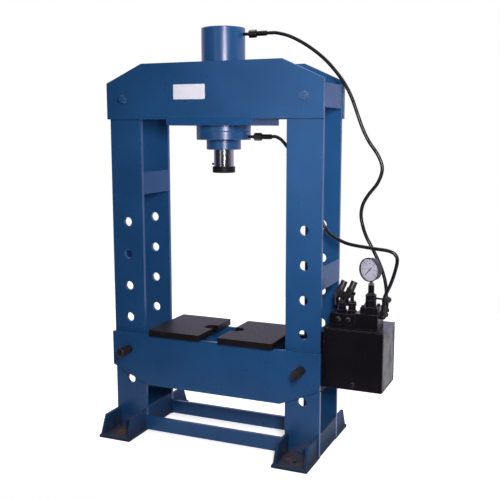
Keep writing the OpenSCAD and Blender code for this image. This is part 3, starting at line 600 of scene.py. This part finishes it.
def rounded_outline(width, height, radius, steps=6):
    points = []
    corners = [(1, 1, 0), (-1, 1, 90), (-1, -1, 180), (1, -1, 270)]
    for side_x, side_y, start in corners:
        for k in range(steps + 1):
            angle = math.radians(start + 90 * k / steps)
            points.append((side_x * (width / 2 - radius) + radius * math.cos(angle),
                           side_y * (height / 2 - radius) + radius * math.sin(angle)))
    return points


UPRIGHT = Matrix.Rotation(math.radians(90.0), 4, "X")

# The dial's place, and its print in distances from its centre
GAUGE_CENTRE = (0.698, -0.030, 0.835)
GAUGE_TURN = math.radians(-22.0)
DIAL_OUT = 13.05 * MM
PRINT_T = 0.08 * MM
PRINT_INK = rgb(0.03, 0.03, 0.05)
SCALE_START = 225.0
SCALE_SWEEP = 270.0
MARKS = 54
MAJOR_MARKS = 6
MARK_END = 40.0 * MM
MAJOR_MARK_START = 31.0 * MM
MINOR_MARK_START = 35.0 * MM
MAJOR_MARK_HALF = 0.8 * MM
MINOR_MARK_HALF = 0.4 * MM
NUMERAL_STEP = 10
NUMERAL_H = 7.5 * MM
NUMERAL_R = 25.5 * MM
NUMERAL_CURVE_STEPS = 3
MERGE_GAP = 1e-7


# The dial's own frame: X across, Y up and Z out of its face
def dial_place():
    turn = Matrix.Rotation(GAUGE_TURN, 4, "Z") @ UPRIGHT
    return Matrix.Translation(GAUGE_CENTRE) @ turn @ Matrix.Translation((0.0, 0.0, DIAL_OUT))


# Angle on the dial after a number of equal steps from zero to full scale
def scale_angle(step, steps):
    return math.radians(SCALE_START - SCALE_SWEEP * step / steps)


# A point of the dial at a distance out along an angle and a distance aside
def dial_point(angle, out, aside):
    across = math.cos(angle)
    up = math.sin(angle)
    return (out * across - aside * up, out * up + aside * across)


# Plain numbers inside the longer marks
def add_numerals():
    shape = bmesh.new()
    for k in range(MAJOR_MARKS + 1):
        angle = scale_angle(k, MAJOR_MARKS)
        curve = bpy.data.curves.new("numeral", "FONT")
        curve.body = str(NUMERAL_STEP * k)
        curve.size = NUMERAL_H
        curve.align_x = "CENTER"
        curve.align_y = "CENTER"
        curve.extrude = PRINT_T / 2
        curve.resolution_u = NUMERAL_CURVE_STEPS
        letters = bpy.data.objects.new("numeral", curve)
        mesh = bpy.data.meshes.new_from_object(letters)
        spot = Vector((*dial_point(angle, NUMERAL_R, 0.0), PRINT_T / 2))
        mesh.transform(dial_place() @ Matrix.Translation(spot))
        shape.from_mesh(mesh)
        bpy.data.objects.remove(letters)
        bpy.data.meshes.remove(mesh)
        bpy.data.curves.remove(curve)
    bmesh.ops.remove_doubles(shape, verts=shape.verts, dist=MERGE_GAP)
    return frame_piece("dial_numerals", shape)


# Scale marks from the zero stop round to full scale
def add_marks():
    outlines = []
    for k in range(MARKS + 1):
        angle = scale_angle(k, MARKS)
        major = k % (MARKS // MAJOR_MARKS) == 0
        start = MAJOR_MARK_START if major else MINOR_MARK_START
        half = MAJOR_MARK_HALF if major else MINOR_MARK_HALF
        outlines.append([
            dial_point(angle, start, half), dial_point(angle, start, -half),
            dial_point(angle, MARK_END, -half), dial_point(angle, MARK_END, half),
        ])
    return flat_piece("dial_marks", outlines, PRINT_T, 0.0, dial_place())


def add_dial_print():
    pieces = (add_marks(), add_numerals())
    ink = plastic("dial_print", PRINT_INK, roughness=0.5)
    for piece in pieces:
        wear(piece, ink)


# Weld beads, thin at both ends and rippled by two waves along their steps
WELD_R = 3.2 * MM
TANK_WELD_R = 1.7 * MM
WELD_STEP = 3.0 * MM
WELD_SIDES = 8
WELD_END = 0.35
WELD_GROWTH = 0.3
LONG_WAVE = 0.16
LONG_WAVE_TURN = 2.4
SHORT_WAVE = 0.07
SHORT_WAVE_TURN = 5.1

# Seams in millimetres: foot gussets on their base plates and uprights, and the side ties
GUSSET_FACES = (356.0, 368.0, 492.0, 504.0)
GUSSET_NEAR = 134.0
GUSSET_FAR = 284.0
FOOT_TOP = 12.0
UPRIGHT_FACE = 131.0
GUSSET_LOW = 14.0
GUSSET_HIGH = 96.0
TIE_X = 349.5
TIE_Y = 114.5
TIE_LOW = 7.0
TIE_HIGH = 68.0

# The tank's right end plate in millimetres
TANK_END_X = 772.0
TANK_END_Y = 101.5
TANK_END_LOW = 326.0
TANK_END_HIGH = 574.0


def bead_radius(size, step, count, turn):
    ends = min(1.0, WELD_END + WELD_GROWTH * min(step, count - step))
    long_wave = LONG_WAVE * math.sin(LONG_WAVE_TURN * step + turn)
    short_wave = SHORT_WAVE * math.sin(SHORT_WAVE_TURN * step + 2.0 * turn)
    return size * ends * (1.0 + long_wave + short_wave)


# One bead along each straight seam
def make_beads(name, seams, size):
    beads = []
    for n, (start, end) in enumerate(seams):
        a = Vector(start) * MM
        b = Vector(end) * MM
        count = int((b - a).length / WELD_STEP)
        line = [a.lerp(b, i / count) for i in range(count + 1)]
        radii = [bead_radius(size, i, count, n) for i in range(count + 1)]
        bead = tube_piece(f"{name}_{n:02d}", line, radii, WELD_SIDES)
        beads.append(bead)
    return beads


def add_welds():
    seams = []
    for side_x in (-1, 1):
        for side_y in (-1, 1):
            near = side_y * GUSSET_NEAR
            far = side_y * GUSSET_FAR
            upright = side_y * UPRIGHT_FACE
            for face in GUSSET_FACES:
                x = side_x * face
                seams.append(((x, near, FOOT_TOP), (x, far, FOOT_TOP)))
                seams.append(((x, upright, GUSSET_LOW), (x, upright, GUSSET_HIGH)))
            tie_x = side_x * TIE_X
            tie_y = side_y * TIE_Y
            seams.append(((tie_x, tie_y, TIE_LOW), (tie_x, tie_y, TIE_HIGH)))
    return make_beads("weld_bead", seams, WELD_R)


# Seams down both sides of the tank's end plate and along its foot
def add_tank_welds():
    low_front = (TANK_END_X, -TANK_END_Y, TANK_END_LOW)
    low_rear = (TANK_END_X, TANK_END_Y, TANK_END_LOW)
    high_front = (TANK_END_X, -TANK_END_Y, TANK_END_HIGH)
    high_rear = (TANK_END_X, TANK_END_Y, TANK_END_HIGH)
    seams = [(low_front, high_front), (low_rear, high_rear), (low_front, low_rear)]
    return make_beads("tank_weld", seams, TANK_WELD_R)


PLATE_PLACE = (-0.0955, -0.149, 1.578)
PLATE_W = 153 * MM
PLATE_H = 64 * MM
PLATE_CORNER_R = 4 * MM
PLATE_T = 0.8 * MM
PLATE_RIM = 0.25 * MM
PLATE_WHITE = rgb(0.78, 0.79, 0.85)


# A blank plate on the crown's front face
def add_blank_plate():
    place = Matrix.Translation(PLATE_PLACE) @ UPRIGHT
    outline = rounded_outline(PLATE_W, PLATE_H, PLATE_CORNER_R)
    plate = flat_piece("blank_plate", [outline], PLATE_T, PLATE_RIM, place)
    wear(plate, plastic("blank_plate_white", PLATE_WHITE, roughness=0.35))


# A rectangular lamp that looks at a target, out of the camera's sight
def add_lamp(name, place, target, size, power, colour, spread=180.0):
    data = bpy.data.lights.new(name, "AREA")
    data.shape = "RECTANGLE"
    data.size = size[0]
    data.size_y = size[1]
    data.energy = power
    data.color = colour
    data.spread = math.radians(spread)
    lamp = bpy.data.objects.new(name, data)
    lamp.location = place
    lamp.rotation_euler = (Vector(target) - Vector(place)).to_track_quat("-Z", "Y").to_euler()
    lamp.visible_camera = False
    bpy.context.scene.collection.objects.link(lamp)


# A narrow key lamp to the right, a faint one in front and a wide one above and behind
def add_lamps():
    add_lamp("key", place=(1.45, -2.3, 1.74), target=(0.45, 0.0, 1.45), size=(0.34, 0.8),
             power=32.0, colour=(1.0, 0.97, 1.0), spread=110.0)
    add_lamp("front", place=(-0.7, -3.5, 1.6), target=(0.45, -0.13, 1.3), size=(1.1, 2.0),
             power=0.55, colour=(0.97, 0.96, 1.0), spread=36.0)
    add_lamp("top", place=(0.0, 0.9, 4.6), target=(0.0, 0.9, 0.0), size=(7.0, 4.6),
             power=160.0, colour=(1.0, 1.0, 1.0))


# Ramps of the surround along its directions Y and Z, each from and to two values, and its tint
SURROUND_Y = (-0.1, 0.25, 0.08, 1.0)
SURROUND_Z = (0.42, 0.75, 1.0, 0.3)
SURROUND_TINT = rgb(0.95, 0.89, 1.16)


# A surround that lights from low behind and is dim in front and above, but white to the camera
def add_surround():
    world = bpy.data.worlds.new("studio")
    world.use_nodes = True
    builder = NodeBuilder(world.node_tree)
    background = next(n for n in world.node_tree.nodes if n.type == "BACKGROUND")
    way = builder.axes(builder.node("ShaderNodeTexCoord").outputs["Generated"])
    ray = builder.node("ShaderNodeLightPath").outputs
    above = builder.math("MAXIMUM", ray["Is Glossy Ray"], builder.remap(way["Z"], *SURROUND_Z))
    level = builder.times(builder.remap(way["Y"], *SURROUND_Y), above)
    seen = builder.math("MAXIMUM", ray["Is Camera Ray"], ray["Is Transmission Ray"])
    builder.plug(background.inputs["Strength"], builder.math("MAXIMUM", seen, level))
    builder.plug(background.inputs["Color"], builder.mix(seen, SURROUND_TINT, WHITE))
    bpy.context.scene.world = world


FLOOR_SIDE = 4.0
FLOOR_FRONT = 0.8
FLOOR_BACK = 3.0
FLOOR_GLOW = 0.58
MIRRORED_GLOW = 0.3


# A pale floor that fades into the surround, and that gloss and glass show pale too
def add_floor():
    mesh = bpy.data.meshes.new("floor")
    corners = [
        (-FLOOR_SIDE, -FLOOR_FRONT, 0), (FLOOR_SIDE, -FLOOR_FRONT, 0),
        (FLOOR_SIDE, FLOOR_BACK, 0), (-FLOOR_SIDE, FLOOR_BACK, 0),
    ]
    mesh.from_pydata(corners, [], [(0, 1, 2, 3)])
    floor = bpy.data.objects.new("floor", mesh)
    bpy.context.scene.collection.objects.link(floor)
    look = Shader("pale_floor")
    tint = look.mix(look.noise(2.0), rgb(0.93, 0.93, 0.94), rgb(0.96, 0.96, 0.96))
    look.set(Base_Color=tint, Roughness=0.8)
    ray = look.node("ShaderNodeLightPath").outputs
    mirrored = look.math("MAXIMUM", ray["Is Glossy Ray"], ray["Is Transmission Ray"])
    glow = look.plus(look.times(ray["Is Camera Ray"], FLOOR_GLOW), look.times(mirrored, MIRRORED_GLOW))
    look.set(Emission_Color=WHITE, Emission_Strength=glow)
    wear(floor, look.material)


add_camera()
hose_pieces = [
    add_hose("upper_hose_tube", UPPER_ROUTE, "upper_hose"),
    add_hose("lower_hose_tube", LOWER_ROUTE, "lower_hose"),
]
dress(hose_pieces, add_welds(), add_tank_welds())
add_dial_print()
add_blank_plate()
add_floor()
add_surround()
add_lamps()
bpy.context.scene.view_settings.view_transform = "Standard"

bpy.context.view_layer.update()
